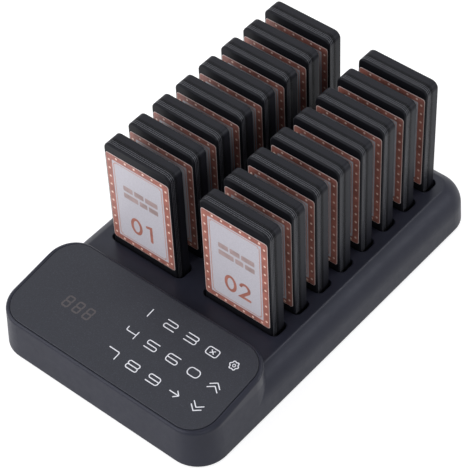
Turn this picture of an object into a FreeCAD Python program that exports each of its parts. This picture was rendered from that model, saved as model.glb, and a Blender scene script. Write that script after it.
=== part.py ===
import FreeCAD, Part
import math
import os
import re
import Sketcher
from FreeCAD import Placement, Rotation, Vector

# Guest pager system: a charging base with a touch keypad in front and a tray that
# holds sixteen coaster pagers, upright, in two columns of eight.
# Frame: origin under the middle of the base on the table, +X right, +Y to the back, +Z up.
# Lengths are in millimetres and angles in degrees.

SIZES = {
    # Outer shape of the base
    "wall": 2.5,
    "wall_draft": 3.0,
    "base_corner": 21.0,
    "foot_gap": 1.5,
    "deck_height": 30.4,
    "deck_thickness": 2.5,
    "shoulder": 18.0,
    "shoulder_cut": 1.37,
    "deck_edge": 3.0,
    "side_margin": 18.2,
    "deck_front_margin": 18.0,
    "deck_back_margin": 16.48,
    # Touch panel at the front
    "panel_thickness": 2.0,
    "panel_proud": 0.4,
    "panel_corner": 17.0,
    "panel_gap": 0.25,
    "panel_depth": 67.07,
    "panel_side_margin": 5.2,
    "front_margin": 3.3,
    "panel_rim_back": 1.9,
    "panel_height_back": 40.3,
    "platform_edge": 2.4,
    "platform_back_edge": 1.5,
    "panel_tilt": 7.5,
    "adhesive_thickness": 0.3,
    "ledge_width": 7.0,
    "ledge_thickness": 2.0,
    # Pager
    "pager_width": 52.5,
    "pager_height": 94.0,
    "pager_thickness": 12.0,
    "pager_corner": 5.0,
    "pager_wall": 1.4,
    "pager_face": 1.6,
    "front_cover_depth": 3.6,
    "front_edge": 1.2,
    "rear_edge": 0.8,
    "band_depth": 3.0,
    "band_inset": 0.4,
    "band_rib": 0.6,
    "label_width": 50.0,
    "label_height": 73.9,
    "label_thickness": 0.4,
    "label_recess": 0.3,
    "label_corner": 1.8,
    "label_bottom": 13.0,
    "label_gap": 0.1,
    "pager_board_width": 45.0,
    "pager_board_height": 82.0,
    "pager_board_thickness": 1.2,
    "pager_post": 2.0,
    "pager_post_inset": 4.5,
    "battery_width": 34.0,
    "battery_height": 40.0,
    "battery_thickness": 4.2,
    "battery_lift": 4.0,
    "motor_radius": 2.2,
    "motor_length": 11.0,
    "motor_drop": 28.0,
    "lamp_length": 3.2,
    "lamp_width": 1.6,
    "lamp_height": 1.2,
    "lamp_pitch": 9.0,
    "contact_width": 4.0,
    "contact_depth": 3.0,
    "contact_pitch": 16.0,
    # Slots in the tray
    "column_pitch": 75.08,
    "row_pitch": 21.66,
    "pager_sink": 8.1,
    "slot_end_gap": 3.0,
    "slot_side_gap": 0.8,
    "slot_corner": 4.0,
    "slot_floor": 1.5,
    "slot_floor_gap": 0.3,
    "slot_wall": 1.2,
    # Bottom cover, feet and screws
    "cover_thickness": 3.0,
    "cover_gap": 0.3,
    "foot_radius": 7.0,
    "foot_recess": 1.0,
    "foot_inset_x": 20.0,
    "foot_inset_y": 24.0,
    "boss_radius": 4.0,
    "boss_height": 15.0,
    "boss_inset_y": 30.0,
    "screw_head": 2.8,
    "screw_head_height": 1.4,
    "screw_shank": 1.35,
    "screw_length": 9.0,
    "screw_fit": 0.05,
    "head_gap": 0.2,
    "post_radius": 3.2,
    "small_head": 2.2,
    "small_head_height": 1.3,
    "small_shank": 1.0,
    "small_length": 6.0,
    "small_hole_depth": 5.2,
    # Boards and parts inside the base
    "board_thickness": 1.6,
    "board_side_inset": 17.0,
    "charge_board_front": 2.0,
    "charge_board_back": 1.5,
    "pin_length": 6.2,
    "pin_radius": 1.0,
    "pin_hole": 1.3,
    "pin_collar": 1.8,
    "pin_collar_height": 2.0,
    "post_inset": 6.0,
    "main_board_width": 96.0,
    "main_board_depth": 46.0,
    "main_board_lift": 4.0,
    "key_board_drop": 8.0,
    "key_board_side": 0.8,
    "key_board_ends": 3.5,
    "key_board_corner": 12.0,
    "key_post_radius": 2.5,
    "key_post_reach": 18.0,
    "key_first_x": -0.5,
    "key_pitch_x": 16.4,
    "key_pitch_y": 17.4,
    "spring_radius": 4.5,
    "spring_tip_gap": 0.3,
    "display_width": 30.0,
    "display_depth": 14.0,
    "display_x": -39.0,
    "display_y": -4.5,
    "radio_width": 18.0,
    "radio_depth": 25.0,
    "radio_height": 3.0,
    "radio_x": -30.0,
    "buzzer_radius": 6.0,
    "buzzer_height": 7.0,
    "buzzer_x": 34.0,
    "aerial_post": 0.7,
    "aerial_radius": 0.5,
    "aerial_height": 9.0,
    "aerial_length": 40.0,
    "ribbon_width": 14.0,
    "ribbon_thickness": 0.8,
    # Power inlet and switch in the back wall
    "inlet_x": -45.0,
    "inlet_height": 12.0,
    "inlet_nose": 4.6,
    "inlet_bore": 2.85,
    "inlet_mouth_depth": 2.5,
    "inlet_room": 3.4,
    "inlet_pin": 1.0,
    "inlet_pin_gap": 0.4,
    "inlet_body_width": 10.0,
    "inlet_body_depth": 10.5,
    "inlet_body_height": 11.0,
    "inlet_bore_depth": 10.0,
    "inlet_set_back": 0.9,
    "switch_x": 45.0,
    "switch_height": 13.0,
    "switch_width": 15.0,
    "switch_tall": 10.0,
    "switch_body_depth": 9.0,
    "switch_bezel": 1.5,
    "switch_bezel_depth": 1.4,
    "switch_wall": 0.8,
    "switch_gap": 0.1,
    "rocker_angle": 8.0,
    "rocker_well": 6.2,
    "rocker_end_gap": 0.5,
    "rocker_side_gap": 0.3,
    "rocker_axis_depth": 3.6,
    "rocker_front": 2.6,
    "rocker_dip": 0.8,
    "rocker_back": 1.5,
    "rocker_shaft": 0.8,
    "rocker_shaft_end": 0.6,
    "shaft_fit": 0.05,
    # Cutting tools run past the faces that they cut by this much
    "overrun": 1.0,
}
ROWS = 8
COLUMNS = 2
KEY_ROWS = 3
KEY_COLUMNS = 5
BAND_RIBS = 3
LAMPS = 4

# Sizes that follow from others, each written as a sum of named sizes
DERIVED = {
    "slot_length": "pager_width + 2 * slot_end_gap",
    "slot_width": "pager_thickness + 2 * slot_side_gap",
    "tray_length": "(rows - 1) * row_pitch + slot_width",
    "base_width": "(columns - 1) * column_pitch + slot_length + 2 * side_margin",
    "panel_plan": "panel_depth * cos(panel_tilt)",
    "base_depth": "front_margin + panel_plan + panel_rim_back + deck_front_margin + tray_length"
                  " + deck_back_margin",
    "base_front": "0 - base_depth / 2",
    "base_back": "base_depth / 2",
    "panel_front_y": "base_front + front_margin",
    "panel_back_y": "panel_front_y + panel_plan",
    "panel_mid_y": "panel_front_y + panel_plan / 2",
    "panel_mid_z": "panel_height_back - panel_plan / 2 * tan(panel_tilt)",
    "panel_width": "base_width - 2 * panel_side_margin",
    "platform_drop": "panel_proud / cos(panel_tilt)",
    "platform_back_y": "panel_back_y + panel_rim_back",
    "platform_back_z": "panel_height_back + panel_rim_back * tan(panel_tilt) - platform_drop",
    "platform_foot_y": "platform_back_y + (platform_back_z - foot_gap) * tan(wall_draft)",
    "first_row_y": "platform_back_y + deck_front_margin + slot_width / 2",
    "last_row_y": "first_row_y + (rows - 1) * row_pitch",
    "first_column_x": "0 - (columns - 1) * column_pitch / 2",
    "shoulder_top": "deck_height + shoulder_cut",
    "pager_z": "deck_height - pager_sink",
    "slot_floor_z": "pager_z - slot_floor_gap",
    "sleeve_z": "slot_floor_z - slot_floor",
    "cover_top": "foot_gap + cover_thickness",
    "charge_board_z": "slot_floor_z + slot_floor_gap - spring_tip_gap - pin_length - board_thickness",
    "charge_board_front_y": "first_row_y - slot_width / 2 - charge_board_front",
    "charge_board_back_y": "last_row_y + slot_width / 2 + charge_board_back",
    "charge_board_depth": "charge_board_back_y - charge_board_front_y",
    "charge_board_width": "base_width - 2 * board_side_inset",
    "main_board_z": "cover_top + main_board_lift",
    "key_board_w": "0 - panel_thickness - key_board_drop",
    "tower_top": "panel_height_back + base_corner",
    "wall_back_y": "base_back - (inlet_height - foot_gap) * tan(wall_draft)",
    "bezel_face_y": "base_back - switch_gap",
    "rocker_axis_y": "bezel_face_y - rocker_axis_depth",
    "rocker_hole_width": "switch_width - 2 * switch_bezel",
    "rocker_hole_tall": "switch_tall - 2 * switch_bezel",
    "boss_x": "base_width / 2 - wall - boss_radius",
    "boss_y": "base_depth / 2 - boss_inset_y",
    "charge_board_mid_y": "(charge_board_front_y + charge_board_back_y) / 2",
    "key_board_width": "panel_width - 2 * key_board_side",
    "key_board_depth": "panel_depth - 2 * key_board_ends",
    "ledge_w": "0 - panel_thickness - adhesive_thickness",
    "pager_rear_depth": "pager_thickness - front_cover_depth - band_depth",
    "contact_y": "front_cover_depth + band_depth + pager_rear_depth / 2 - pager_thickness / 2",
    "pager_board_y": "front_cover_depth + (band_depth - pager_board_thickness) / 2",
}
COUNTS = {"rows": ROWS, "columns": COLUMNS, "key_rows": KEY_ROWS, "key_columns": KEY_COLUMNS}

doc = FreeCAD.newDocument("guest_pager_system")
sheet = doc.addObject("Spreadsheet::Sheet", "sizes")
for row, (alias, number) in enumerate(SIZES.items(), start=1):
    sheet.set("A%d" % row, alias)
    sheet.set("B%d" % row, str(number))
    sheet.setAlias("B%d" % row, alias)
doc.recompute()

NODES = {}


def expand(text):
    """Write a sum of named sizes as an expression on the sheet's cells."""
    def swap(match):
        word = match.group(0)
        if word in DERIVED:
            return "(" + expand(DERIVED[word]) + ")"
        if word in COUNTS:
            return str(COUNTS[word])
        return "sizes." + word if word in SIZES else word
    return re.sub(r"[A-Za-z_][A-Za-z_0-9]*", swap, str(text))


def value(text):
    """The number that an expression on the sheet gives."""
    return float(sheet.evalExpression(expand(text)))


def bind(thing, target, text):
    thing.setExpression(target, expand(text))


def place(thing, at, turn=None):
    """Put an object at three expressions, turned by an axis and an angle expression."""
    spot = "create(<<vector>>; %s; %s; %s)" % tuple("(%s) * 1 mm" % expand(part) for part in at)
    axis, angle = turn or ((0, 0, 1), "0")
    turned = "create(<<rotation>>; create(<<vector>>; %d; %d; %d); %s)" % (*axis, expand(angle))
    thing.setExpression("Placement", "create(<<placement>>; %s; %s)" % (spot, turned))


def origin_plane(body, role):
    for feature in body.Origin.OriginFeatures:
        if feature.Role == role:
            return feature
    raise ValueError(role)


def new_sketch(body, name, role="XY_Plane", lift="0"):
    """A sketch on one of the body's own planes, lifted along that plane's normal."""
    sketch = body.newObject("Sketcher::SketchObject", name)
    sketch.AttachmentSupport = [(origin_plane(body, role), "")]
    sketch.MapMode = "FlatFace"
    bind(sketch, "AttachmentOffset.Base.z", lift)
    return sketch


def draw_rectangle(sketch, width, height):
    """A rectangle about the sketch's origin, with both sides bound to the sheet."""
    half_w = value(width) / 2
    half_h = value(height) / 2
    corners = [Vector(-half_w, -half_h, 0), Vector(half_w, -half_h, 0),
               Vector(half_w, half_h, 0), Vector(-half_w, half_h, 0)]
    for i in range(4):
        sketch.addGeometry(Part.LineSegment(corners[i], corners[(i + 1) % 4]), False)
    for i in range(4):
        sketch.addConstraint(Sketcher.Constraint("Coincident", i, 2, (i + 1) % 4, 1))
    for i in (0, 2):
        sketch.addConstraint(Sketcher.Constraint("Horizontal", i))
    for i in (1, 3):
        sketch.addConstraint(Sketcher.Constraint("Vertical", i))
    sketch.addConstraint(Sketcher.Constraint("Symmetric", 0, 1, 1, 2, -1, 1))
    for title, text, kind, line in (("wide", width, "DistanceX", 0), ("tall", height, "DistanceY", 1)):
        number = sketch.addConstraint(Sketcher.Constraint(kind, line, 1, line, 2, value(text)))
        sketch.renameConstraint(number, title)
        bind(sketch, "Constraints." + title, text)


def edges_where(shape, wanted):
    return ["Edge%d" % i for i, edge in enumerate(shape.Edges, start=1) if wanted(edge)]


def round_edges(body, base, radius, wanted, name="round"):
    """Fillet the edges of a feature that a test picks."""
    doc.recompute()
    names = edges_where(base.Shape, wanted)
    if not names:
        raise ValueError("no edge to round on " + body.Name)
    fillet = body.newObject("PartDesign::Fillet", name)
    fillet.Base = (base, names)
    bind(fillet, "Radius", radius)
    doc.recompute()
    return fillet


def along(axis):
    """A test for edges that run mostly along one axis."""
    def wanted(edge):
        run = edge.Vertexes[-1].Point - edge.Vertexes[0].Point
        return abs(run[axis]) > 0.9 * edge.Length
    return wanted


def at_level(axis, level):
    """A test for edges that lie whole at one coordinate."""
    def wanted(edge):
        return all(abs(vertex.Point[axis] - level) < 1e-4 for vertex in edge.Vertexes)
    return wanted


def prism(name, width, height, length, corner=None, at=("0", "0", "0"), turn=None,
          role="XY_Plane", start_edge=None, end_edge=None):
    """A body of rectangular section with rounded corners. It grows along +Z, or
    along +Y from the XZ plane, and start_edge and end_edge round its rims."""
    body = doc.addObject("PartDesign::Body", name)
    sketch = new_sketch(body, name + "_outline", role)
    draw_rectangle(sketch, width, height)
    pad = body.newObject("PartDesign::Pad", name + "_pad")
    pad.Profile = sketch
    bind(pad, "Length", length)
    pad.Reversed = role == "XZ_Plane"
    last = pad
    axis = 1 if role == "XZ_Plane" else 2
    if corner:
        last = round_edges(body, last, corner, along(axis), name + "_corners")
    if start_edge:
        last = round_edges(body, last, start_edge, at_level(axis, 0), name + "_start")
    if end_edge:
        last = round_edges(body, last, end_edge, at_level(axis, value(length)), name + "_end")
    place(body, at, turn)
    return body


def box(name, size, centre, turn=None):
    """A plain block given by its size and the centre of its underside."""
    block = doc.addObject("Part::Box", name)
    for side, text in zip(("Length", "Width", "Height"), size):
        bind(block, side, text)
    corner = ("%s - (%s) / 2" % (centre[0], size[0]), "%s - (%s) / 2" % (centre[1], size[1]), centre[2])
    place(block, corner, turn)
    return block


def rod(name, radius, length, start, turn=None):
    """A cylinder that grows along +Z from its start, or as it is turned."""
    cylinder = doc.addObject("Part::Cylinder", name)
    bind(cylinder, "Radius", radius)
    bind(cylinder, "Height", length)
    place(cylinder, start, turn)
    return cylinder


def group(name, parts):
    """Separate solids kept side by side in one object."""
    compound = doc.addObject("Part::Compound", name)
    compound.Links = parts
    return compound


def fuse(name, parts):
    union = doc.addObject("Part::MultiFuse", name)
    union.Shapes = parts
    return union


def cut(name, base, tools):
    """A base less its tools, which don't overlap one another."""
    result = doc.addObject("Part::Cut", name)
    result.Base = base
    result.Tool = tools[0] if len(tools) == 1 else group(name + "_tools", tools)
    return result


def common(name, base, tool):
    result = doc.addObject("Part::Common", name)
    result.Base = base
    result.Tool = tool
    return result


def shifted(name, parts, offset):
    """The same solids again, moved by an offset."""
    copy = group(name, parts)
    place(copy, offset)
    return copy


def slot_offsets():
    """Number, column and row of every slot; odd numbers stand on the left."""
    for row in range(ROWS):
        for column in range(COLUMNS):
            yield row * COLUMNS + column + 1, column, row


def in_every_slot(name, part):
    """A part of the first slot, repeated in all of them."""
    copies = []
    for number, column, row in slot_offsets():
        offset = ("%d * column_pitch" % column, "%d * row_pitch" % row, "0")
        copies.append(shifted("%s_%02d" % (name, number), [part], offset))
    return copies


def keep(label, thing):
    """Give an object its node's name and list it for writing."""
    thing.Label = label
    NODES[label] = thing
    return thing


def in_panel(across, up_slope, above):
    """A point given on the touch panel: across it, up its slope and above its face."""
    return (across,
            "panel_mid_y + (%s) * cos(panel_tilt) - (%s) * sin(panel_tilt)" % (up_slope, above),
            "panel_mid_z + (%s) * sin(panel_tilt) + (%s) * cos(panel_tilt)" % (up_slope, above))


PANEL_TURN = ((1, 0, 0), "panel_tilt")
TO_BACK = ((1, 0, 0), "0 - 90")
TO_RIGHT = ((0, 1, 0), "90")


def panel_prism(name, width, depth, thickness, corner, base, end_edge=None):
    """A rounded plate parallel to the touch panel, its underside at height base."""
    return prism(name, width, depth, thickness, corner, in_panel("0", "0", base), PANEL_TURN,
                 end_edge=end_edge)


# Base: the outer shape
def arc(first, last, centre):
    """The shorter arc from one point to another about a centre."""
    halfway = ((first - centre) + (last - centre)).normalize()
    return Part.Arc(first, centre + halfway * (first - centre).Length, last).toShape()


def leaning_section(inset, low, top):
    """The upright section of a plain block, from the axis of its corner to its wall."""
    bottom = value(low)
    height = value(top) - bottom
    wall_x = value("base_corner - (%s)" % inset)
    lean = math.tan(math.radians(value("wall_draft")))
    outline = [Vector(0, 0, bottom), Vector(wall_x, 0, bottom),
               Vector(wall_x - height * lean, 0, bottom + height), Vector(0, 0, bottom + height)]
    return Part.Face(Part.makePolygon(outline + outline[:1]))


def shouldered_section(inset, low):
    """The upright section of the tray, from the axis of its corner outward: the flat
    deck, a small round, the shoulder's wide arc and the leaning wall. The shoulder
    would rise a little above the deck, which cuts it flat."""
    bottom = value(low)
    lean = math.radians(value("wall_draft"))
    wide = value("shoulder - (%s)" % inset)
    small = value("deck_edge")
    deck = value("deck_height" if inset == "0" else "deck_height - deck_thickness")
    wall_low = Vector(value("base_corner - (%s)" % inset), 0, bottom)
    outward = Vector(math.cos(lean), 0, math.sin(lean))
    centre_z = value("shoulder_top - shoulder")
    touch_z = centre_z + wide * outward.z
    touch = Vector(wall_low.x - (touch_z - bottom) * math.tan(lean), 0, touch_z)
    centre = touch - outward * wide
    rise = deck - small - centre_z
    to_edge = Vector(math.sqrt((wide - small) ** 2 - rise ** 2), 0, rise)
    edge_centre = centre + to_edge
    meeting = edge_centre + Vector(to_edge).normalize() * small
    deck_end = edge_centre + Vector(0, 0, small)
    corners = [deck_end, Vector(0, 0, deck), Vector(0, 0, bottom), wall_low, touch]
    edges = [Part.LineSegment(a, b).toShape() for a, b in zip(corners, corners[1:])]
    edges += [arc(touch, meeting, centre), arc(meeting, deck_end, edge_centre)]
    return Part.Face(Part.Wire(edges))


def base_block(name, section, front_y, back_y):
    """A block of the base's plan: one section, run straight along the four sides and
    turned about the axes of the four corners, round a plain middle."""
    corner_x = value("base_width / 2 - base_corner")
    front = value(front_y) + value("base_corner")
    back = value(back_y) - value("base_corner")
    bounds = section.BoundBox
    middle = Part.makeBox(2 * corner_x, back - front, bounds.ZLength, Vector(-corner_x, front, bounds.ZMin))
    pieces = []
    for turn, x, y, run in ((0, corner_x, back, back - front), (90, -corner_x, back, 2 * corner_x),
                            (180, -corner_x, front, back - front), (270, corner_x, front, 2 * corner_x)):
        for piece in (section.extrude(Vector(0, -run, 0)), section.revolve(Vector(), Vector(0, 0, 1), 90)):
            piece.Placement = Placement(Vector(x, y, 0), Rotation(Vector(0, 0, 1), turn))
            pieces.append(piece)
    block = doc.addObject("Part::Feature", name)
    block.Shape = middle.fuse(pieces).removeSplitter()
    return block


def round_solid(name, base, radii_of):
    """Fillet a solid's edges. The test gives an edge's radii at its two ends, or nothing."""
    doc.recompute()
    edges = [(number, *radii_of(edge)) for number, edge in enumerate(base.Shape.Edges, start=1)
             if radii_of(edge)]
    if not edges:
        raise ValueError("no edge to round on " + base.Name)
    fillet = doc.addObject("Part::Fillet", name)
    fillet.Base = base
    fillet.Edges = edges
    return fillet


def tilted_top(name, drop):
    """What lies below the platform's sloping top, or below that top lowered."""
    reach = "base_width + base_depth"
    slab = doc.addObject("Part::Box", name)
    for side in ("Length", "Width", "Height"):
        bind(slab, side, reach)
    level = "0 - panel_proud - (%s)" % drop
    turned = in_panel("0", "0", "%s - (%s)" % (level, reach))
    place(slab, ("0 - (%s) / 2" % reach,
                 "%s - (%s) / 2 * cos(panel_tilt)" % (turned[1], reach),
                 "%s - (%s) / 2 * sin(panel_tilt)" % (turned[2], reach)), PANEL_TURN)
    return slab


def platform_rim_radii(edge):
    """The platform's top edge is rounder at its front and sides than at its back."""
    middle = edge.valueAt((edge.FirstParameter + edge.LastParameter) / 2)
    ends = [edge.valueAt(edge.FirstParameter), edge.valueAt(edge.LastParameter)]
    for point in [middle] + ends:
        slope_z = value("panel_mid_z") + (point.y - value("panel_mid_y")) * math.tan(
            math.radians(value("panel_tilt")))
        if abs(point.z + value("platform_drop") - slope_z) > 1e-3:
            return None
    return [value("platform_edge" if point.y < value("panel_mid_y") else "platform_back_edge")
            for point in ends]


def make_outer():
    """The solid outer shape of the base, before it is hollowed."""
    tray = base_block("tray_block", shouldered_section("0", "foot_gap"), "base_front", "base_back")
    tower = base_block("platform_block", leaning_section("0", "foot_gap", "tower_top"),
                       "base_front", "platform_foot_y")
    platform = round_solid("platform", common("sloping_block", tower, tilted_top("platform_top", "0")),
                           platform_rim_radii)
    whole = fuse("outer_shape", [tray, platform])
    whole.Refine = True
    return whole


def slot_of_first(name, extra, low, high):
    """A block in the shape of the first slot, wider all round by extra."""
    return prism(name, "slot_length + 2 * (%s)" % extra, "slot_width + 2 * (%s)" % extra,
                 "(%s) - (%s)" % (high, low), "slot_corner + (%s)" % extra,
                 ("first_column_x", "first_row_y", low))


def cover_screw_places():
    for side in (-1, 1):
        for end in (-1, 0, 1):
            yield "%d * boss_x" % side, "%d * boss_y" % end


def charge_post_places():
    for side in (-1, 1):
        for end in (-1, 0, 1):
            yield ("%d * (charge_board_width / 2 - post_inset)" % side,
                   "charge_board_mid_y + %d * (charge_board_depth / 2 - post_inset)" % end)


def main_post_places():
    for side in (-1, 1):
        for end in (-1, 1):
            yield ("%d * (main_board_width / 2 - post_inset)" % side,
                   "panel_mid_y + %d * (main_board_depth / 2 - post_inset)" % end)


def key_post_places():
    for side in (-1, 1):
        for end in (-1, 1):
            yield ("%d * (panel_width / 2 - ledge_width / 2)" % side, "%d * key_post_reach" % end)


def rods_at(name, radius, length, places, low):
    """Upright cylinders at a list of places."""
    return [rod("%s_%d" % (name, i), radius, length, (x, y, low))
            for i, (x, y) in enumerate(places, start=1)]


def key_rods(name, radius, length, base):
    """Cylinders square to the touch panel at the key board's posts."""
    return [rod("%s_%d" % (name, i), radius, length, in_panel(x, v, base), PANEL_TURN)
            for i, (x, v) in enumerate(key_post_places(), start=1)]


def make_room():
    """The hollow inside the base: one room under the tray, which follows its shoulder,
    and one under the platform, which it meets."""
    low = "foot_gap - overrun"
    tray = base_block("tray_room", shouldered_section("wall", low), "panel_mid_y", "base_back")
    tower = base_block("platform_room_block", leaning_section("wall", low, "tower_top"),
                       "base_front", "platform_foot_y")
    drop = "0 - ledge_w + ledge_thickness - panel_proud"
    platform = common("platform_room", tower, tilted_top("platform_room_top", drop))
    return fuse("base_room", [tray, platform])


def make_housing():
    """The moulded top of the base, with its slots, panel seat and screw bosses."""
    shell = cut("hollow_base", make_outer(), [make_room()])
    sleeves = in_every_slot("sleeve", slot_of_first("sleeve_shape", "slot_wall", "sleeve_z",
                                                    "deck_height - deck_thickness / 2"))
    bosses = rods_at("boss", "boss_radius", "boss_height", cover_screw_places(), "cover_top")
    posts = key_rods("key_post", "key_post_radius",
                     "key_board_drop - adhesive_thickness - ledge_thickness / 2", "key_board_w")
    solid = fuse("ribbed_base", [shell] + sleeves + bosses + posts)
    seat = panel_prism("panel_seat", "panel_width + 2 * panel_gap", "panel_depth + 2 * panel_gap",
                       "panel_thickness + adhesive_thickness + overrun", "panel_corner + panel_gap",
                       "ledge_w")
    window = panel_prism("panel_window", "panel_width - 2 * ledge_width", "panel_depth - 2 * ledge_width",
                         "ledge_thickness + 2 * overrun", "panel_corner - ledge_width",
                         "ledge_w - ledge_thickness - overrun")
    opening = fuse("panel_opening", [seat, window])
    inlet_hole = rod("inlet_hole", "inlet_nose + shaft_fit", "2 * wall + 2 * overrun",
                     ("inlet_x", "wall_back_y + overrun", "inlet_height"), ((1, 0, 0), "90"))
    seat_depth = "(switch_bezel_depth + switch_gap + overrun)"
    bezel_seat = box("bezel_seat",
                     ("switch_width + 2 * switch_gap", seat_depth, "switch_tall + 2 * switch_gap"),
                     ("switch_x", "bezel_face_y - switch_bezel_depth + %s / 2" % seat_depth,
                      "switch_height - switch_tall / 2 - switch_gap"))
    body_hole = box("switch_hole",
                    ("rocker_hole_width + 2 * switch_wall + 2 * switch_gap", "switch_body_depth",
                     "rocker_hole_tall + 2 * switch_wall + 2 * switch_gap"),
                    ("switch_x", "bezel_face_y - switch_body_depth / 2",
                     "switch_height - rocker_hole_tall / 2 - switch_wall - switch_gap"))
    switch_hole = fuse("switch_opening", [bezel_seat, body_hole])
    pilots = rods_at("boss_pilot", "screw_shank + screw_fit", "boss_height - wall", cover_screw_places(),
                     "cover_top - overrun")
    key_pilots = key_rods("key_pilot", "small_shank + screw_fit", "small_hole_depth + overrun",
                          "key_board_w - overrun")
    opened = cut("opened_base", solid, [opening, inlet_hole, switch_hole] + pilots + key_pilots)
    slots = in_every_slot("slot", slot_of_first("slot_shape", "0", "slot_floor_z", "deck_height + overrun"))
    slotted = cut("slotted_base", opened, slots)
    holes = []
    for side in (-1, 1):
        holes.append(rod("pin_hole_%d" % (side + 2), "pin_hole", "slot_floor + 2 * overrun",
                         ("first_column_x + %d * contact_pitch / 2" % side, "first_row_y + contact_y",
                          "sleeve_z - overrun")))
    pair = group("pin_hole_pair", holes)
    keep("top_housing", cut("top_housing", slotted, in_every_slot("pin_holes", pair)))


def make_cover():
    """The bottom cover with its posts, and the feet stuck into its underside."""
    inset = "(wall + cover_gap)"
    plate = prism("cover_plate", "base_width - 2 * " + inset, "base_depth - 2 * " + inset,
                  "cover_thickness", "base_corner - " + inset, ("0", "0", "foot_gap"))
    charge_posts = rods_at("charge_post", "post_radius", "charge_board_z - cover_top + overrun",
                           charge_post_places(), "cover_top - overrun")
    main_posts = rods_at("main_post", "post_radius", "main_board_lift + overrun", main_post_places(),
                         "cover_top - overrun")
    cradle = box("inlet_cradle", ("inlet_body_width", "inlet_body_depth",
                                  "inlet_height - inlet_body_height / 2 - cover_top + overrun"),
                 ("inlet_x", "wall_back_y - wall - inlet_set_back - inlet_body_depth / 2",
                  "cover_top - overrun"))
    solid = fuse("ribbed_cover", [plate, cradle] + charge_posts + main_posts)
    holes = rods_at("cover_hole", "screw_shank + head_gap", "cover_thickness + 2 * overrun",
                    cover_screw_places(), "foot_gap - overrun")
    heads = rods_at("cover_head_seat", "screw_head + head_gap", "screw_head_height + overrun",
                    cover_screw_places(), "foot_gap - overrun")
    seats = [fuse("screw_seat_%d" % i, list(pair)) for i, pair in enumerate(zip(holes, heads), start=1)]
    foot_places = [("%d * (base_width / 2 - foot_inset_x)" % x, "%d * (base_depth / 2 - foot_inset_y)" % y)
                   for x in (-1, 1) for y in (-1, 1)]
    foot_seats = rods_at("foot_seat", "foot_radius + screw_fit", "foot_recess + overrun", foot_places,
                         "foot_gap - overrun")
    charge_pilots = rods_at("charge_pilot", "small_shank + screw_fit", "small_hole_depth + overrun",
                            charge_post_places(), "charge_board_z - small_hole_depth")
    main_pilots = rods_at("main_pilot", "small_shank + screw_fit", "small_hole_depth + overrun",
                          main_post_places(), "main_board_z - small_hole_depth")
    keep("bottom_cover", cut("bottom_cover", solid, seats + foot_seats + charge_pilots + main_pilots))
    feet = rods_at("foot", "foot_radius", "foot_gap + foot_recess", foot_places, "0")
    keep("rubber_feet", group("rubber_feet", feet))


def screws(name, places, head, head_height, shank, length, head_z, upward):
    """Screws standing at a list of places, heads below if they point upward."""
    made = []
    for i, (x, y) in enumerate(places, start=1):
        top = rod("%s_head_%d" % (name, i), head, head_height, (x, y, head_z))
        low = "(%s) + (%s) / 2" % (head_z, head_height) if upward else "(%s) - (%s)" % (head_z, length)
        reach = "(%s) + (%s) / 2" % (length, head_height)
        stem = rod("%s_stem_%d" % (name, i), shank, reach, (x, y, low))
        made.append(fuse("%s_%d" % (name, i), [top, stem]))
    return made


def make_screws():
    head_z = "foot_gap + head_gap"
    keep("case_screws", group("case_screws", screws(
        "case_screw", cover_screw_places(), "screw_head", "screw_head_height - head_gap", "screw_shank",
        "screw_length", head_z, True)))
    small = []
    for name, places, level in (("charge_screw", charge_post_places(), "charge_board_z + board_thickness"),
                                ("main_screw", main_post_places(), "main_board_z + board_thickness")):
        small += screws(name, places, "small_head", "small_head_height", "small_shank", "small_length",
                        level, False)
    heads = key_rods("key_screw_head", "small_head", "small_head_height",
                     "key_board_w - board_thickness - small_head_height")
    stems = key_rods("key_screw_stem", "small_shank", "small_length + small_head_height / 2",
                     "key_board_w - board_thickness - small_head_height / 2")
    small += [fuse("key_screw_%d" % i, list(pair)) for i, pair in enumerate(zip(heads, stems), start=1)]
    keep("board_screws", group("board_screws", small))


def make_panel():
    """The touch panel, its adhesive frame, and the boards and parts behind it."""
    keep("touch_panel", panel_prism("touch_panel", "panel_width", "panel_depth", "panel_thickness",
                                    "panel_corner", "0 - panel_thickness", end_edge="panel_proud"))
    sheet_of_glue = panel_prism("adhesive_sheet", "panel_width", "panel_depth", "adhesive_thickness",
                                "panel_corner", "ledge_w")
    middle = panel_prism("adhesive_window", "panel_width - 2 * ledge_width",
                         "panel_depth - 2 * ledge_width", "adhesive_thickness + 2 * overrun",
                         "panel_corner - ledge_width", "ledge_w - overrun")
    keep("panel_adhesive", cut("panel_adhesive", sheet_of_glue, [middle]))
    plate = panel_prism("key_board_plate", "key_board_width", "key_board_depth", "board_thickness",
                        "key_board_corner", "key_board_w - board_thickness")
    holes = key_rods("key_board_hole", "small_shank + screw_fit", "board_thickness + 2 * overrun",
                     "key_board_w - board_thickness - overrun")
    keep("keypad_board", cut("keypad_board", plate, holes))
    springs = []
    for row in range(KEY_ROWS):
        for column in range(KEY_COLUMNS):
            spot = in_panel("key_first_x + %d * key_pitch_x" % column,
                            "((key_rows - 1) / 2 - %d) * key_pitch_y" % row, "key_board_w")
            springs.append(rod("touch_spring_%d" % len(springs), "spring_radius",
                               "key_board_drop - spring_tip_gap", spot, PANEL_TURN))
    keep("touch_springs", group("touch_springs", springs))
    keep("digit_display", prism("digit_display", "display_width", "display_depth",
                                "key_board_drop - spring_tip_gap", None,
                                in_panel("display_x", "display_y", "key_board_w"), PANEL_TURN))


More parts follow.
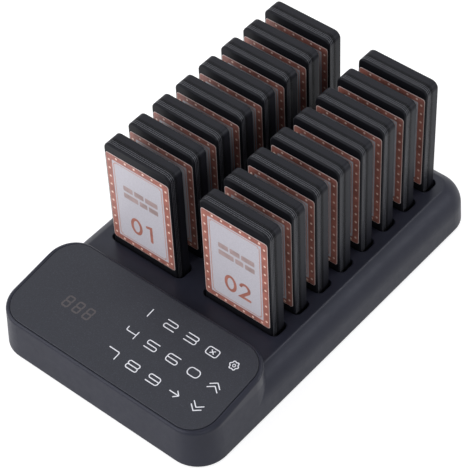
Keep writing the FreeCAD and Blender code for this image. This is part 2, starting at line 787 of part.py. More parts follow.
def make_boards():
    """The main board with its parts, and the charging board with its spring pins."""
    charge_plate = box("charge_plate", ("charge_board_width", "charge_board_depth", "board_thickness"),
                       ("0", "charge_board_mid_y", "charge_board_z"))
    charge_holes = rods_at("charge_hole", "small_shank + screw_fit", "board_thickness + 2 * overrun",
                           charge_post_places(), "charge_board_z - overrun")
    keep("charging_board", cut("charging_board", charge_plate, charge_holes))
    main_plate = box("main_plate", ("main_board_width", "main_board_depth", "board_thickness"),
                     ("0", "panel_mid_y", "main_board_z"))
    main_holes = rods_at("main_hole", "small_shank + screw_fit", "board_thickness + 2 * overrun",
                         main_post_places(), "main_board_z - overrun")
    keep("main_board", cut("main_board", main_plate, main_holes))
    main_top = "main_board_z + board_thickness"
    keep("radio_module", box("radio_module", ("radio_width", "radio_depth", "radio_height"),
                             ("radio_x", "panel_mid_y", main_top)))
    keep("buzzer", rod("buzzer", "buzzer_radius", "buzzer_height", ("buzzer_x", "panel_mid_y", main_top)))
    aerial_x = "radio_x + radio_width / 2 + radio_height"
    foot = rod("aerial_foot", "aerial_post", "aerial_height", (aerial_x, "panel_mid_y", main_top))
    arm = rod("aerial_arm", "aerial_radius", "aerial_length",
              (aerial_x, "panel_mid_y", "%s + aerial_height - 2 * aerial_radius" % main_top), TO_RIGHT)
    keep("aerial_wire", fuse("aerial_wire", [foot, arm]))
    pins = []
    for side in (-1, 1):
        spot = ("first_column_x + %d * contact_pitch / 2" % side, "first_row_y + contact_y",
                "charge_board_z + board_thickness")
        stem = rod("pin_stem_%d" % (side + 2), "pin_radius", "pin_length", spot)
        collar = rod("pin_collar_%d" % (side + 2), "pin_collar", "pin_collar_height", spot)
        pins.append(fuse("pin_%d" % (side + 2), [stem, collar]))
    pair = group("pin_pair", pins)
    keep("contact_pins", group("contact_pins", in_every_slot("pins", pair)))


def make_ribbons():
    """Flat cables: one from the main board to the key board, one to the charging board."""
    main_top = "main_board_z + board_thickness"
    key_reach = "main_board_depth / 4"
    top = in_panel("0", key_reach, "key_board_w - board_thickness")[2]
    key_ribbon = box("key_ribbon", ("ribbon_width", "ribbon_thickness",
                                    "%s - (%s) - ribbon_thickness / 4" % (top, main_top)),
                     ("0", in_panel("0", key_reach, "key_board_w - board_thickness")[1], main_top))
    bend_y = "(panel_mid_y + main_board_depth / 2 + charge_board_front_y) / 2"
    reach = "post_inset"
    start = "panel_mid_y + main_board_depth / 2 - %s" % reach
    end = "charge_board_front_y + %s" % reach
    charge_top = "charge_board_z + board_thickness"
    lower = box("ribbon_lower", ("ribbon_width", "%s - (%s) + ribbon_thickness" % (bend_y, start),
                                 "ribbon_thickness"),
                ("0", "(%s + %s + ribbon_thickness) / 2" % (start, bend_y), main_top))
    riser = box("ribbon_riser", ("ribbon_width", "ribbon_thickness", "%s - (%s) + ribbon_thickness"
                                 % (charge_top, main_top)),
                ("0", "%s + ribbon_thickness / 2" % bend_y, main_top))
    upper = box("ribbon_upper", ("ribbon_width", "%s - (%s)" % (end, bend_y), "ribbon_thickness"),
                ("0", "(%s + %s) / 2" % (bend_y, end), charge_top))
    charge_ribbon = fuse("charge_ribbon", [lower, riser, upper])
    keep("ribbon_cables", group("ribbon_cables", [key_ribbon, charge_ribbon]))


def make_inlet():
    """The power inlet in the back wall: a round mouth round a centre pin."""
    body_front = "wall_back_y - wall - inlet_set_back"
    mouth = "wall_back_y - inlet_set_back"
    block = box("inlet_block", ("inlet_body_width", "inlet_body_depth", "inlet_body_height"),
                ("inlet_x", "%s - inlet_body_depth / 2" % body_front,
                 "inlet_height - inlet_body_height / 2"))
    nose = rod("inlet_nose", "inlet_nose", "wall + overrun", ("inlet_x", "%s - overrun" % body_front,
                                                              "inlet_height"), TO_BACK)
    bore = rod("inlet_bore", "inlet_bore", "inlet_mouth_depth + 2 * overrun",
               ("inlet_x", "%s - inlet_mouth_depth - overrun" % mouth, "inlet_height"), TO_BACK)
    chamber = rod("inlet_chamber", "inlet_room", "inlet_bore_depth - inlet_mouth_depth",
                  ("inlet_x", "%s - inlet_bore_depth" % mouth, "inlet_height"), TO_BACK)
    pin = rod("inlet_pin", "inlet_pin", "inlet_bore_depth - inlet_mouth_depth - inlet_pin_gap",
              ("inlet_x", "%s - inlet_bore_depth" % mouth, "inlet_height"), TO_BACK)
    hollow = cut("inlet_hollow", fuse("inlet_opening", [bore, chamber]), [pin])
    keep("power_inlet", cut("power_inlet", fuse("inlet_body", [block, nose]), [hollow]))


def make_switch():
    """The power switch: a frame in the back wall and a rocker on a short shaft."""
    bezel = box("switch_bezel", ("switch_width", "switch_bezel_depth", "switch_tall"),
                ("switch_x", "bezel_face_y - switch_bezel_depth / 2", "switch_height - switch_tall / 2"))
    body = box("switch_body", ("rocker_hole_width + 2 * switch_wall", "switch_body_depth",
                               "rocker_hole_tall + 2 * switch_wall"),
               ("switch_x", "bezel_face_y - switch_body_depth / 2",
                "switch_height - rocker_hole_tall / 2 - switch_wall"))
    well = box("rocker_well", ("rocker_hole_width", "rocker_well + overrun", "rocker_hole_tall"),
               ("switch_x", "bezel_face_y - rocker_well + (rocker_well + overrun) / 2",
                "switch_height - rocker_hole_tall / 2"))
    shaft_hole = rod("shaft_hole", "rocker_shaft + shaft_fit", "rocker_hole_tall + 4 * switch_wall",
                     ("switch_x", "rocker_axis_y",
                      "switch_height - rocker_hole_tall / 2 - 2 * switch_wall"))
    keep("switch_frame", cut("switch_frame", fuse("switch_shell", [bezel, body]),
                             [fuse("switch_room", [well, shaft_hole])]))
    tall = "rocker_hole_tall - 2 * rocker_side_gap"
    half = "(rocker_hole_width / 2 - rocker_end_gap)"
    outline = [("0 - " + half, "0 - rocker_back"), (half, "0 - rocker_back"), (half, "rocker_front"),
               ("0", "rocker_front - rocker_dip"), ("0 - " + half, "rocker_front")]
    rocker = doc.addObject("PartDesign::Body", "rocker_key")
    sketch = new_sketch(rocker, "rocker_outline", lift="0 - (%s) / 2" % tall)
    corners = [Vector(value(x), value(y), 0) for x, y in outline]
    for i, corner in enumerate(corners):
        sketch.addGeometry(Part.LineSegment(corner, corners[(i + 1) % len(corners)]), False)
    pad = rocker.newObject("PartDesign::Pad", "rocker_pad")
    pad.Profile = sketch
    bind(pad, "Length", tall)
    turn = ((0, 0, 1), "0 - rocker_angle")
    place(rocker, ("switch_x", "rocker_axis_y", "switch_height"), turn)
    shaft = rod("rocker_shaft", "rocker_shaft", "rocker_hole_tall + 2 * rocker_shaft_end",
                ("switch_x", "rocker_axis_y",
                 "switch_height - rocker_hole_tall / 2 - rocker_shaft_end"), turn)
    keep("power_rocker", fuse("power_rocker", [rocker, shaft]))


def pager_at(behind, up="pager_height / 2"):
    """A point of the first pager, behind its front face and above its lower edge."""
    return "first_column_x", "first_row_y - pager_thickness / 2 + (%s)" % behind, "pager_z + (%s)" % up


def pager_plate(name, width, height, depth, corner, behind, up="pager_height / 2", **edges):
    """An upright rounded plate of the first pager."""
    return prism(name, width, height, depth, corner, pager_at(behind, up), role="XZ_Plane", **edges)


def make_first_pager():
    """The pieces of pager 01: two covers with a ribbed light band between them, the
    printed label in front, and the board, battery, motor and contacts inside."""
    full = ("pager_width", "pager_height")
    inner = ("pager_width - 2 * pager_wall", "pager_height - 2 * pager_wall")
    inner_corner = "pager_corner - pager_wall"
    rear_start = "front_cover_depth + band_depth"
    shell = pager_plate("front_shell", *full, "front_cover_depth", "pager_corner", "0",
                        start_edge="front_edge")
    room = pager_plate("front_room", *inner, "front_cover_depth - pager_face + overrun", inner_corner,
                       "pager_face")
    label_up = "label_bottom + label_height / 2"
    seat = pager_plate("label_seat", "label_width + 2 * label_gap", "label_height + 2 * label_gap",
                       "label_recess + overrun", "label_corner + label_gap", "0 - overrun", label_up)
    keep("pager_01_front_cover", cut("pager_01_front_cover", shell, [room, seat]))
    core = pager_plate("band_core", "pager_width - 2 * band_inset", "pager_height - 2 * band_inset",
                       "band_depth", "pager_corner - band_inset", "front_cover_depth")
    ribs = []
    for i in range(BAND_RIBS):
        middle = "front_cover_depth + %d * band_depth / %d" % (2 * i + 1, 2 * BAND_RIBS)
        ribs.append(pager_plate("band_rib_%d" % i, *full, "band_rib", "pager_corner",
                                "%s - band_rib / 2" % middle))
    band_room = pager_plate("band_room", *inner, "band_depth + 2 * overrun", inner_corner,
                            "front_cover_depth - overrun")
    keep("pager_01_light_band", cut("pager_01_light_band", fuse("band_body", [core] + ribs), [band_room]))
    rear_shell = pager_plate("rear_shell", *full, "pager_rear_depth", "pager_corner", rear_start,
                             end_edge="rear_edge")
    rear_room = pager_plate("rear_room", *inner, "pager_rear_depth - pager_face + overrun", inner_corner,
                            "%s - overrun" % rear_start)
    hollow = cut("rear_hollow", rear_shell, [rear_room])
    board_back = "pager_board_y + pager_board_thickness"
    posts = []
    for side in (-1, 1):
        for end in (-1, 1):
            start = pager_at(board_back, "pager_height / 2 + %d * (pager_board_height / 2"
                             " - pager_post_inset)" % end)
            across = "first_column_x + %d * (pager_board_width / 2 - pager_post_inset)" % side
            posts.append(rod("pager_post_%d" % len(posts), "pager_post",
                             "pager_thickness - pager_face / 2 - (%s)" % board_back,
                             (across, start[1], start[2]), TO_BACK))
    contacts = []
    for side in (-1, 1):
        spot = ("first_column_x + %d * contact_pitch / 2" % side, "first_row_y + contact_y", "pager_z")
        contacts.append(box("contact_%d" % (side + 2),
                            ("contact_width", "contact_depth", "pager_wall"), spot))
    keep("pager_01_rear_cover", cut("pager_01_rear_cover", fuse("rear_ribbed", [hollow] + posts), contacts))
    keep("pager_01_charge_contacts", group("pager_01_charge_contacts", contacts))
    keep("pager_01_label", pager_plate("pager_01_label", "label_width", "label_height", "label_thickness",
                                       "label_corner", "label_recess - label_thickness", label_up))
    keep("pager_01_circuit_board", pager_plate("pager_01_circuit_board", "pager_board_width",
                                               "pager_board_height", "pager_board_thickness",
                                               "pager_wall", "pager_board_y"))
    slack = "(pager_thickness - pager_face - (%s) - battery_thickness) / 2" % board_back
    keep("pager_01_battery", pager_plate("pager_01_battery", "battery_width", "battery_height",
                                         "battery_thickness", "pager_wall",
                                         "%s + %s" % (board_back, slack),
                                         "pager_height / 2 + battery_lift"))
    motor_y = "(pager_thickness - pager_face + %s) / 2" % board_back
    motor = pager_at(motor_y, "pager_height / 2 - motor_drop")
    motor_end = "first_column_x - motor_length / 2"
    keep("pager_01_vibration_motor", rod("pager_01_vibration_motor", "motor_radius", "motor_length",
                                         (motor_end, motor[1], motor[2]), TO_RIGHT))
    lamps = []
    for i in range(LAMPS):
        spot = pager_at("pager_board_y - lamp_height / 2",
                        "(pager_height + pager_board_height) / 2 - 2 * lamp_width")
        across = "first_column_x + (%d - %d / 2) * lamp_pitch" % (i, LAMPS - 1)
        lamps.append(box("lamp_%d" % i, ("lamp_length", "lamp_height", "lamp_width"),
                         (across, spot[1], spot[2])))
    keep("pager_01_lamps", group("pager_01_lamps", lamps))


def make_other_pagers():
    """Pagers 02 to 16: the same pieces again, one group of solids for each pager's
    case with what it holds, and one node for its label."""
    pieces = [NODES[label] for label in list(NODES)
              if label.startswith("pager_01_") and label != "pager_01_label"]
    for number, column, row in slot_offsets():
        if number == 1:
            continue
        offset = ("%d * column_pitch" % column, "%d * row_pitch" % row, "0")
        unit = "pager_%02d_unit" % number
        label = "pager_%02d_label" % number
        keep(unit, shifted(unit, pieces, offset))
        keep(label, shifted(label, [NODES["pager_01_label"]], offset))


def check_document():
    """Stop if any object of the document failed or any node has no sound shape."""
    doc.recompute()
    for thing in doc.Objects:
        if "Invalid" in thing.State or "Error" in thing.State:
            raise RuntimeError("%s failed: %s" % (thing.Name, thing.State))
    for label, thing in NODES.items():
        if thing.Shape.isNull() or not thing.Shape.isValid() or not thing.Shape.Solids:
            raise RuntimeError(label + " has no sound shape")


def write_nodes():
    os.makedirs("parts", exist_ok=True)
    for label, thing in NODES.items():
        thing.Shape.exportStep("parts/%s.step" % label)
        print("%-28s %3d solids %10.1f mm3" % (label, len(thing.Shape.Solids), thing.Shape.Volume))


make_housing()
make_cover()
make_panel()
make_boards()
make_ribbons()
make_inlet()
make_switch()
make_screws()
make_first_pager()
make_other_pagers()
check_document()
write_nodes()
print(len(NODES), "nodes")
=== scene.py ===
import math

import bmesh
import bpy
from mathutils import Matrix, Vector


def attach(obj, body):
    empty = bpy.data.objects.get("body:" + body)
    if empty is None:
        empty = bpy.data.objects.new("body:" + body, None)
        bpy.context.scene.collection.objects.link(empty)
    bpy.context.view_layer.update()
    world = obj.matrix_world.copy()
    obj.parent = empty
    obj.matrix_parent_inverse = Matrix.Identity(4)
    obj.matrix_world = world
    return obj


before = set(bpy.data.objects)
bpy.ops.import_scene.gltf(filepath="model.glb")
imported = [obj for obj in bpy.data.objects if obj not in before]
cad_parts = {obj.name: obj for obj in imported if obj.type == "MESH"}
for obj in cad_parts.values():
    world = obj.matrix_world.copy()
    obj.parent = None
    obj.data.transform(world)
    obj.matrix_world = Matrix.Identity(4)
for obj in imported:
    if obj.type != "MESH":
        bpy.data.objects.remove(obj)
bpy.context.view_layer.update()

MM = 0.001

# Places of the object's main features, in millimetres, as in the frame
COLUMN_X = (-37.54, 37.54)
ROWS = 8
FIRST_ROW_Y = -39.26
ROW_PITCH = 21.66
DECK_GLOSS_Z = (28.5, 30.3)
PANEL_TILT = math.radians(7.5)
PANEL_MID = (-99.15, 35.922)

# Depths in a pager, from its front face
PAGER_DEPTH = 12.0
BAND_DEPTH = 3.62
BACK_DEPTH = 6.61
# Depths and width of the thin light lines painted on the pager case: painted highlights for the rib
# crests' glints
RIB_GLINT_DEPTHS = (1.7, 2.9, 4.1)
LAST_FRONT_RIB = 3.0
RIB_GLINT_WIDTH = 0.16
LEAD = 1.0
DEPTH_SPAN = 20.0

# Label: its print lies in a border of dots around the paper, a ruled frame, two rows
# of plain bars and the pager's number
LABEL_FACE = 6.1
LABEL_Z = 35.3
LABEL_WIDTH = 50.0
LABEL_HEIGHT = 73.9
LABEL_EDGE = 0.7
PAPER_INSET = (9.6, 8.6)
RULE_INSET = (12.2, 11.2)
RULE_NOTCH = 1.2
RULE_STROKE = 0.55
DOT_RADIUS = 0.85
SIDE_DOTS = 10
SIDE_DOT_PITCH = 7.03
SIDE_DOT_SHIFT = -0.3
SIDE_DOT_U = 22.6
END_DOTS = 6
END_DOT_PITCH = 7.1
END_DOT_SHIFT = 1.3
END_DOT_INSET = 2.0
BAR_HEIGHT = 4.2
BAR_ROUND = 0.7
BAR_ROWS = (
    (13.1, ((-12.8, -5.2), (-4.0, 3.6), (4.8, 14.8))),
    (7.0, ((-12.8, -1.2), (0.0, 6.2), (7.4, 14.8))),
)
NUMBER_WIDTH = 7.2
NUMBER_HEIGHT = 12.0
NUMBER_STROKE = 2.2
NUMBER_PITCH = 11.2
NUMBER_CORNER = (-8.2, -22.4)

# Touch panel: its keys stand in a grid, with the digit display to their left
KEY_ROWS = (
    ("1", "2", "3", "delete", "settings"),
    ("4", "5", "6", "0", "up"),
    ("7", "8", "9", "send", "down"),
)
FIRST_KEY = (-0.5, 17.6)
KEY_PITCH = (16.4, 17.5)
KEY_HALF = (4.15, 2.7)
KEY_STROKE = 0.68
KEY_ROUND = 1.25
DISPLAY_MID = (-39.3, -4.7)
DISPLAY_PITCH = 8.3
SEGMENT_LEAN = 0.09
SEGMENT_GAP = 0.55

# Heights of the print above its ground, in millimetres; a crossing stroke lies a step higher
GROUND_LEVEL = 0.02
PANEL_LEVEL = 0.03
OVERPRINT_LEVEL = 0.04
LEVEL_STEP = 0.004

# The photograph's camera: degrees, millimetres and pixels
CAMERA_AZIMUTH = 42.09
CAMERA_ELEVATION = 47.26
CAMERA_ROLL = -3.01
CAMERA_TARGET = (14.7, -19.1, 63.9)
CAMERA_DISTANCE = 1198.0
FOCAL_PIXELS = 1984.2
PICTURE_PIXELS = 470
SENSOR_WIDTH = 36.0


# Materials
class Shader:
    """A node tree with one Principled shader and short calls to add to it."""

    def __init__(self, name):
        self.material = bpy.data.materials.new(name)
        self.material.use_nodes = True
        self.tree = self.material.node_tree
        self.tree.nodes.clear()
        self.out = self.node("ShaderNodeOutputMaterial")
        self.main = self.node("ShaderNodeBsdfPrincipled")
        self.tree.links.new(self.main.outputs["BSDF"], self.out.inputs["Surface"])
        self.place = self.node("ShaderNodeTexCoord").outputs["Object"]

    def node(self, kind, **values):
        made = self.tree.nodes.new(kind)
        for key, item in values.items():
            setattr(made, key, item)
        return made

    def link(self, source, target):
        self.tree.links.new(source, target)

    def noise(self, scale, detail=3.0, rough=0.5, stretch=None):
        made = self.node("ShaderNodeTexNoise")
        made.inputs["Scale"].default_value = scale
        made.inputs["Detail"].default_value = detail
        made.inputs["Roughness"].default_value = rough
        source = self.place
        if stretch:
            mapping = self.node("ShaderNodeMapping")
            mapping.inputs["Scale"].default_value = stretch
            self.link(source, mapping.inputs["Vector"])
            source = mapping.outputs["Vector"]
        self.link(source, made.inputs["Vector"])
        return made.outputs["Fac"]

    def ramp(self, source, stops, constant=False):
        made = self.node("ShaderNodeValToRGB")
        if constant:
            made.color_ramp.interpolation = "CONSTANT"
        elements = made.color_ramp.elements
        while len(elements) < len(stops):
            elements.new(0.5)
        for element, (place, color) in zip(elements, stops):
            element.position = place
            element.color = (*color, 1.0)
        self.link(source, made.inputs["Fac"])
        return made.outputs["Color"]

    def span(self, source, start, end, low_value, high_value):
        made = self.node("ShaderNodeMapRange")
        made.inputs["From Min"].default_value = start
        made.inputs["From Max"].default_value = end
        made.inputs["To Min"].default_value = low_value
        made.inputs["To Max"].default_value = high_value
        self.link(source, made.inputs["Value"])
        return made.outputs["Result"]

    def bump(self, height, strength, distance, soften=0.0):
        """Relief from a height; soften also rounds the look of hard edges, in metres."""
        made = self.node("ShaderNodeBump")
        made.inputs["Strength"].default_value = strength
        made.inputs["Distance"].default_value = distance
        self.link(height, made.inputs["Height"])
        if soften:
            edge = self.node("ShaderNodeBevel", samples=6)
            edge.inputs["Radius"].default_value = soften
            self.link(edge.outputs["Normal"], made.inputs["Normal"])
        self.link(made.outputs["Normal"], self.main.inputs["Normal"])

    def math(self, operation, first, second=None):
        """One sum on sockets or plain numbers."""
        made = self.node("ShaderNodeMath", operation=operation)
        for spot, item in zip(made.inputs, (first, second)):
            if isinstance(item, (int, float)):
                spot.default_value = item
            elif item is not None:
                self.link(item, spot)
        return made.outputs["Value"]

    def axis(self, letter):
        """One coordinate of the point being shaded, in metres."""
        split = self.node("ShaderNodeSeparateXYZ")
        self.link(self.place, split.inputs["Vector"])
        return split.outputs[letter]

    def set(self, **values):
        for key, item in values.items():
            self.main.inputs[key.replace("_", " ")].default_value = item


COOL = (0.88, 0.91, 1.0, 1.0)
GRAIN_DEPTH = 0.00002
FINE_DEPTH = 0.00001


def grey(level, tint=(1.0, 1.0, 1.0)):
    return tuple(level * part for part in tint)


def moulded(name, color, rough, grain=2600.0, strength=0.35, mottle=0.12, specular=0.5):
    """Moulded plastic: a fine spark-eroded grain, slight cloudiness of colour and gloss."""
    shader = Shader(name)
    cloud = shader.noise(38.0, 4.0, 0.6)
    dark = tuple(part * (1 - mottle) for part in color)
    light = tuple(part * (1 + mottle) for part in color)
    shader.link(shader.ramp(cloud, [(0.35, dark), (0.65, light)]), shader.main.inputs["Base Color"])
    wear = shader.noise(240.0, 5.0, 0.65)
    shader.link(shader.span(wear, 0.3, 0.7, rough - 0.05, rough + 0.05), shader.main.inputs["Roughness"])
    shader.bump(shader.noise(grain, 2.0, 0.6), strength, GRAIN_DEPTH)
    shader.set(Specular_IOR_Level=specular)
    return shader.material


def housing_plastic(name):
    """The housing's charcoal plastic: the flat deck is glossier than the walls, and the
    gloss drifts a little everywhere."""
    wall_rough, deck_rough = 0.46, 0.32
    shader = Shader(name)
    cloud = shader.noise(30.0, 4.0, 0.6)
    tones = [(0.35, (0.0150, 0.0158, 0.0250)), (0.65, (0.0190, 0.0200, 0.0310))]
    shader.link(shader.ramp(cloud, tones), shader.main.inputs["Base Color"])
    start, end = (z * MM for z in DECK_GLOSS_Z)
    deck = shader.span(shader.axis("Z"), start, end, 0.0, 1.0)
    wear = shader.span(shader.noise(210.0, 5.0, 0.65), 0.3, 0.7, -0.04, 0.05)
    gloss = shader.math("MULTIPLY_ADD", deck, deck_rough - wall_rough)
    gloss.node.inputs[2].default_value = wall_rough
    shader.link(shader.math("ADD", gloss, wear), shader.main.inputs["Roughness"])
    shader.bump(shader.noise(2600.0, 2.0, 0.6), 0.22, GRAIN_DEPTH, soften=0.0012)
    shader.set(Specular_IOR_Level=0.22, Specular_Tint=COOL)
    return shader.material


def printed(name, color, rough=0.38, cloud=0.0):
    """Ink under a thin clear film, with a faint screen texture; cloud lets the ink's
    depth drift over some millimetres."""
    shader = Shader(name)
    ink = shader.noise(130.0 if cloud else 900.0, 4.0 if cloud else 2.0, 0.6)
    dark = tuple(part * (0.94 - cloud) for part in color)
    light = tuple(min(1.0, part * (1.05 + cloud)) for part in color)
    shader.link(shader.ramp(ink, [(0.3, dark), (0.7, light)]), shader.main.inputs["Base Color"])
    sheen = shader.noise(120.0, 3.0, 0.5)
    shader.link(shader.span(sheen, 0.3, 0.7, rough - 0.04, rough + 0.05), shader.main.inputs["Roughness"])
    shader.bump(shader.noise(1500.0, 1.0, 0.5), 0.12, FINE_DEPTH)
    return shader.material


def metal(name, color, rough, brushed=(1.0, 1.0, 12.0)):
    """Metal with fine lines, drawn out by the factors in brushed."""
    shader = Shader(name)
    lines = shader.noise(1800.0, 2.0, 0.5, brushed)
    shader.link(shader.span(lines, 0.3, 0.7, rough - 0.06, rough + 0.08), shader.main.inputs["Roughness"])
    tone = tuple(part * 0.88 for part in color)
    shader.link(shader.ramp(lines, [(0.3, tone), (0.7, color)]), shader.main.inputs["Base Color"])
    shader.set(Metallic=1.0)
    shader.bump(lines, 0.15, FINE_DEPTH)
    return shader.material


def board(name):
    """Solder mask with copper tracks showing faintly through it."""
    shader = Shader(name)
    bricks = shader.node("ShaderNodeTexBrick")
    bricks.inputs["Scale"].default_value = 160.0
    bricks.inputs["Mortar Size"].default_value = 0.04
    bricks.inputs["Color1"].default_value = (0.010, 0.090, 0.040, 1.0)
    bricks.inputs["Color2"].default_value = (0.012, 0.105, 0.050, 1.0)
    bricks.inputs["Mortar"].default_value = (0.030, 0.170, 0.080, 1.0)
    shader.link(shader.place, bricks.inputs["Vector"])
    shader.link(bricks.outputs["Color"], shader.main.inputs["Base Color"])
    shader.link(shader.span(shader.noise(300.0), 0.3, 0.7, 0.28, 0.36), shader.main.inputs["Roughness"])
    return shader.material


def pager_case(name):
    """One material for a whole pager: it tells the front cover, the ribbed band and the
    back cover by their depth, which repeats from row to row, and paints thin light lines
    that run all round: a painted highlight standing in for the glint on each rib's crest."""

    def share_at(depth):
        return (depth + LEAD) / DEPTH_SPAN

    shader = Shader(name)
    start = FIRST_ROW_Y - PAGER_DEPTH / 2
    shift = shader.math("SUBTRACT", shader.axis("Y"), (start - LEAD) * MM)
    fold = shader.math("FLOORED_MODULO", shift, ROW_PITCH * MM)
    share = shader.span(fold, 0.0, DEPTH_SPAN * MM, 0.0, 1.0)
    front = grey(0.0075, (0.95, 0.98, 1.25))
    band = grey(0.0100, (0.98, 1.0, 1.20))
    back = grey(0.0125, (0.98, 1.0, 1.30))
    # Painted highlight: a light line at each rib's depth, in place of the glint off its crest
    painted_rib_glint = grey(0.2000, (0.98, 1.0, 1.12))
    stops = [(0.0, front)]
    for depth in RIB_GLINT_DEPTHS:
        beyond = band if depth > LAST_FRONT_RIB else front
        stops += [(share_at(depth - RIB_GLINT_WIDTH / 2), painted_rib_glint), (share_at(depth + RIB_GLINT_WIDTH / 2), beyond)]
    stops.append((share_at(BACK_DEPTH), back))
    shader.link(shader.ramp(share, stops, constant=True), shader.main.inputs["Base Color"])
    rough = [(0.0, grey(0.26)), (share_at(BAND_DEPTH), grey(0.30)), (share_at(BACK_DEPTH), grey(0.36))]
    gloss = shader.ramp(share, rough, constant=True)
    mixed = shader.math("MULTIPLY_ADD", shader.noise(180.0, 5.0, 0.6), 0.10)
    shader.link(gloss, mixed.node.inputs[2])
    shader.link(mixed, shader.main.inputs["Roughness"])
    shader.bump(shader.noise(3000.0, 1.0, 0.5), 0.12, FINE_DEPTH, soften=0.0003)
    shader.set(Specular_IOR_Level=0.11, Specular_Tint=COOL)
    return shader.material


def touch_film(name):
    """The touch panel's printed film: dark, with a very fine sparkle in the print."""
    shader = Shader(name)
    cells = shader.node("ShaderNodeTexVoronoi")
    cells.inputs["Scale"].default_value = 2600.0
    shader.link(shader.place, cells.inputs["Vector"])
    speck = shader.node("ShaderNodeSeparateColor")
    shader.link(cells.outputs["Color"], speck.inputs["Color"])
    tones = [(0.0, (0.015, 0.016, 0.021)), (0.84, (0.020, 0.021, 0.028)), (1.0, (0.032, 0.034, 0.045))]
    shader.link(shader.ramp(speck.outputs["Red"], tones), shader.main.inputs["Base Color"])
    smear = shader.noise(60.0, 5.0, 0.6)
    shader.link(shader.span(smear, 0.3, 0.7, 0.36, 0.46), shader.main.inputs["Roughness"])
    shader.bump(shader.noise(2200.0, 2.0, 0.5), 0.22, FINE_DEPTH)
    shader.set(Specular_IOR_Level=0.36, Specular_Tint=COOL)
    return shader.material


HOUSING = housing_plastic("housing_charcoal")
COVER = moulded("cover_charcoal", grey(0.016, (1.0, 1.0, 1.10)), 0.58, grain=1800.0)
RUBBER = moulded("rubber_black", grey(0.012), 0.78, grain=1500.0, strength=0.5, specular=0.3)
FILM = touch_film("touch_film")
TAPE = moulded("tape_black", grey(0.012), 0.7)
BOARD = board("board_green")
STEEL = metal("steel_bright", (0.62, 0.62, 0.63), 0.30)
GOLD = metal("contact_gold", (0.83, 0.60, 0.24), 0.26)
SHIELD = metal("shield_tin", (0.68, 0.68, 0.69), 0.36)
FOIL = metal("battery_foil", (0.60, 0.61, 0.63), 0.42, (1.0, 1.0, 3.0))
BLACK = moulded("small_black", grey(0.010), 0.42, mottle=0.06)
ROCKER = moulded("rocker_black", grey(0.012), 0.30, mottle=0.05, strength=0.15)
RIBBON = moulded("ribbon_grey", grey(0.42), 0.45, mottle=0.05)
DISPLAY = moulded("display_pale", (0.30, 0.28, 0.29), 0.40, mottle=0.05)
LENS = moulded("lamp_lens", (0.70, 0.70, 0.66), 0.20, mottle=0.03)
CASE = pager_case("pager_case")
FILM_EDGE = printed("label_film", (0.72, 0.60, 0.57))
SALMON = printed("label_salmon", (0.37, 0.140, 0.108), cloud=0.28)
CREAM = printed("label_dots", (0.86, 0.66, 0.57))
PAPER = printed("label_paper", (0.560, 0.545, 0.590))
RULE = printed("label_rule", (0.52, 0.27, 0.22))
BARS = printed("label_bars", (0.40, 0.30, 0.29), cloud=0.15)
NUMBER = printed("label_number", (0.42, 0.165, 0.125), cloud=0.2)
GLYPH = printed("key_white", (0.74, 0.75, 0.79), 0.45)
GHOST = printed("display_ghost", (0.052, 0.044, 0.048), 0.5)

NODE_MATERIALS = {
    "top_housing": HOUSING, "bottom_cover": COVER, "rubber_feet": RUBBER, "touch_panel": FILM,
    "panel_adhesive": TAPE, "keypad_board": BOARD, "touch_springs": STEEL, "digit_display": DISPLAY,
    "charging_board": BOARD, "main_board": BOARD, "radio_module": SHIELD, "buzzer": BLACK,
    "aerial_wire": STEEL, "contact_pins": GOLD, "ribbon_cables": RIBBON, "power_inlet": BLACK,
    "switch_frame": BLACK, "power_rocker": ROCKER, "case_screws": STEEL, "board_screws": STEEL,
    "pager_01_circuit_board": BOARD, "pager_01_battery": FOIL, "pager_01_vibration_motor": STEEL,
    "pager_01_charge_contacts": GOLD, "pager_01_lamps": LENS,
}
for name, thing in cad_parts.items():
    material = NODE_MATERIALS.get(name)
    if material is None:
        material = FILM_EDGE if name.endswith("_label") else CASE
    thing.data.materials.clear()
    thing.data.materials.append(material)


# Flat drawing: strips along paths, for printed figures
def rounded(points, radius, closed=False):
    """A path with its corners turned into arcs."""
    steps = 6
    count = len(points)
    made = []
    for i, point in enumerate(points):
        corner = Vector(point)
        if not closed and i in (0, count - 1):
            made.append(corner)
            continue
        before = Vector(points[i - 1]) - corner
        after = Vector(points[(i + 1) % count]) - corner
        half = before.angle(after) / 2
        reach = min(radius / math.tan(half), before.length * 0.499, after.length * 0.499)
        arc = reach * math.tan(half)
        start = corner + before.normalized() * reach
        end = corner + after.normalized() * reach
        centre = corner + (before.normalized() + after.normalized()).normalized() * (arc / math.sin(half))
        a = start - centre
        b = end - centre
        sweep = a.angle_signed(b)
        for k in range(steps + 1):
            made.append(centre + Matrix.Rotation(-sweep * k / steps, 2) @ a)
    return made


def oval(centre, rx, ry, start=0.0, end=360.0, steps=28):
    """Points on an oval's arc, angles in degrees from +u towards +v."""
    made = []
    for k in range(steps + 1):
        angle = math.radians(start + (end - start) * k / steps)
        made.append(Vector((centre[0] + rx * math.cos(angle), centre[1] + ry * math.sin(angle))))
    return made


def strip(path, width, closed=False):
    """Left and right edges of a stroke along a path, whose mitres are limited."""
    shortest, sharpest = 1e-9, 0.35
    count = len(path)
    left = []
    right = []
    for i, point in enumerate(path):
        before = path[i - 1] if closed or i > 0 else None
        after = path[(i + 1) % count] if closed or i < count - 1 else None
        runs = [run.normalized() for run in (point - before if before is not None else None,
                                             after - point if after is not None else None)
                if run is not None and run.length > shortest]
        along = sum(runs, Vector((0.0, 0.0))).normalized()
        side = Vector((-along.y, along.x))
        bend = max(sharpest, side.dot(Vector((-runs[0].y, runs[0].x))))
        left.append(point + side * (width / 2 / bend))
        right.append(point - side * (width / 2 / bend))
    return left, right


